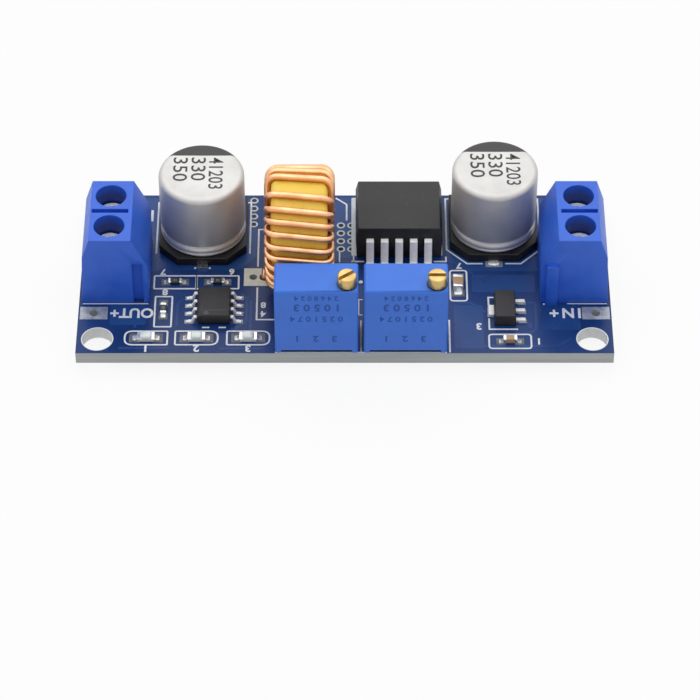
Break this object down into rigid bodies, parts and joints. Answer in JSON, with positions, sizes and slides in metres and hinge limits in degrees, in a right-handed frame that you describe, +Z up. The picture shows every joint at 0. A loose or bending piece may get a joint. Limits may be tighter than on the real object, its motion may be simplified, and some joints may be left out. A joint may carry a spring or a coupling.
{
  "type": "buck converter module",
  "caption": "Blue circuit board carrying an adjustable step-down converter: toroid inductor, cans, trimmers and screw terminals at both ends.",
  "frame": {"origin": "middle of the board's outline, at the level of the lead tips that the module rests on", "axes": "+X along the board towards the input terminal, +Y across it towards the regulator's heat tab, +Z up from the board"},
  "size_m": [0.0618, 0.0262, 0.0175],
  "materials": {
    "board_blue": "glossy blue solder mask",
    "solder": "bright tin solder",
    "terminal_blue": "moulded, slightly glossy",
    "screw_steel": "plated steel",
    "clamp_steel": "plated steel",
    "lead_tin": "bright tinned",
    "can_aluminium": "satin drawn can with a black mark",
    "package_black": "fine matte moulding",
    "core_yellow": "yellow coating",
    "winding_copper": "enamelled copper",
    "trimmer_blue": "moulded",
    "trimmer_resin": "potting resin",
    "trimmer_brass": "machined",
    "chip_black": "ceramic chip with tinned ends",
    "chip_tan": "ceramic chip with tinned ends",
    "lamp_carrier": "white carrier",
    "lamp_lens": "cast clear resin"
  },
  "bodies": {
    "module": {"circuit_board": "board_blue", "lead_solder": "solder", "surface_solder": "solder", "input_terminal_housing": "terminal_blue", "output_terminal_housing": "terminal_blue", "output_plus_contact": "lead_tin", "output_minus_contact": "lead_tin", "input_plus_contact": "lead_tin", "input_minus_contact": "lead_tin", "output_capacitor_can": "can_aluminium", "output_capacitor_base": "package_black", "output_capacitor_tabs": "lead_tin", "input_capacitor_can": "can_aluminium", "input_capacitor_base": "package_black", "input_capacitor_tabs": "lead_tin", "inductor_core": "core_yellow", "inductor_winding": "winding_copper", "regulator_body": "package_black", "regulator_tab": "lead_tin", "regulator_leads": "lead_tin", "left_trimmer_housing": "trimmer_blue", "left_trimmer_base": "trimmer_resin", "left_trimmer_pins": "lead_tin", "right_trimmer_housing": "trimmer_blue", "right_trimmer_base": "trimmer_resin", "right_trimmer_pins": "lead_tin", "amplifier_body": "package_black", "amplifier_leads": "lead_tin", "reference_body": "package_black", "reference_leads": "lead_tin", "diode_body": "package_black", "diode_leads": "lead_tin", "left_lamp_base": "lamp_carrier", "left_lamp_lens": "lamp_lens", "middle_lamp_base": "lamp_carrier", "middle_lamp_lens": "lamp_lens", "right_lamp_base": "lamp_carrier", "right_lamp_lens": "lamp_lens", "output_side_resistor": "chip_black", "middle_resistor": "chip_black", "front_resistor": "chip_black", "shunt_resistor": "chip_black", "trimmer_side_capacitor": "chip_tan", "front_edge_capacitor": "chip_tan"},
    "output_plus_screw": {"output_plus_screw": "screw_steel"},
    "output_minus_screw": {"output_minus_screw": "screw_steel"},
    "input_plus_screw": {"input_plus_screw": "screw_steel"},
    "input_minus_screw": {"input_minus_screw": "screw_steel"},
    "output_plus_clamp": {"output_plus_clamp": "clamp_steel"},
    "output_minus_clamp": {"output_minus_clamp": "clamp_steel"},
    "input_plus_clamp": {"input_plus_clamp": "clamp_steel"},
    "input_minus_clamp": {"input_minus_clamp": "clamp_steel"},
    "left_trimmer_screw": {"left_trimmer_screw": "trimmer_brass"},
    "right_trimmer_screw": {"right_trimmer_screw": "trimmer_brass"}
  },
  "joints": [
    {"name": "output_plus_screw_turn", "type": "hinge", "parent": "module", "child": "output_plus_screw", "pos_m": [-0.027, -0.0025, 0.0098], "axis": [0, 0, -1], "range_deg": [0, 1350]},
    {"name": "output_plus_clamp_rise", "type": "slide", "parent": "module", "child": "output_plus_clamp", "axis": [0, 0, 1], "range_m": [0, 0.00169]},
    {"name": "output_minus_screw_turn", "type": "hinge", "parent": "module", "child": "output_minus_screw", "pos_m": [-0.027, 0.0025, 0.0098], "axis": [0, 0, -1], "range_deg": [0, 1350]},
    {"name": "output_minus_clamp_rise", "type": "slide", "parent": "module", "child": "output_minus_clamp", "axis": [0, 0, 1], "range_m": [0, 0.00169]},
    {"name": "input_plus_screw_turn", "type": "hinge", "parent": "module", "child": "input_plus_screw", "pos_m": [0.027, -0.0025, 0.0098], "axis": [0, 0, -1], "range_deg": [0, 1350]},
    {"name": "input_plus_clamp_rise", "type": "slide", "parent": "module", "child": "input_plus_clamp", "axis": [0, 0, 1], "range_m": [0, 0.00169]},
    {"name": "input_minus_screw_turn", "type": "hinge", "parent": "module", "child": "input_minus_screw", "pos_m": [0.027, 0.0025, 0.0098], "axis": [0, 0, -1], "range_deg": [0, 1350]},
    {"name": "input_minus_clamp_rise", "type": "slide", "parent": "module", "child": "input_minus_clamp", "axis": [0, 0, 1], "range_m": [0, 0.00169]},
    {"name": "left_trimmer_screw_turn", "type": "hinge", "parent": "module", "child": "left_trimmer_screw", "pos_m": [0.00028, -0.01167, 0.0128], "axis": [0, 0, 1], "continuous": true},
    {"name": "right_trimmer_screw_turn", "type": "hinge", "parent": "module", "child": "right_trimmer_screw", "pos_m": [0.01044, -0.01167, 0.0128], "axis": [0, 0, 1], "continuous": true}
  ],
  "couplings": [
    {"joint": "output_plus_screw_turn", "follows": "output_plus_clamp_rise", "rad_per_m": 13963},
    {"joint": "output_minus_screw_turn", "follows": "output_minus_clamp_rise", "rad_per_m": 13963},
    {"joint": "input_plus_screw_turn", "follows": "input_plus_clamp_rise", "rad_per_m": 13963},
    {"joint": "input_minus_screw_turn", "follows": "input_minus_clamp_rise", "rad_per_m": 13963}
  ]
}
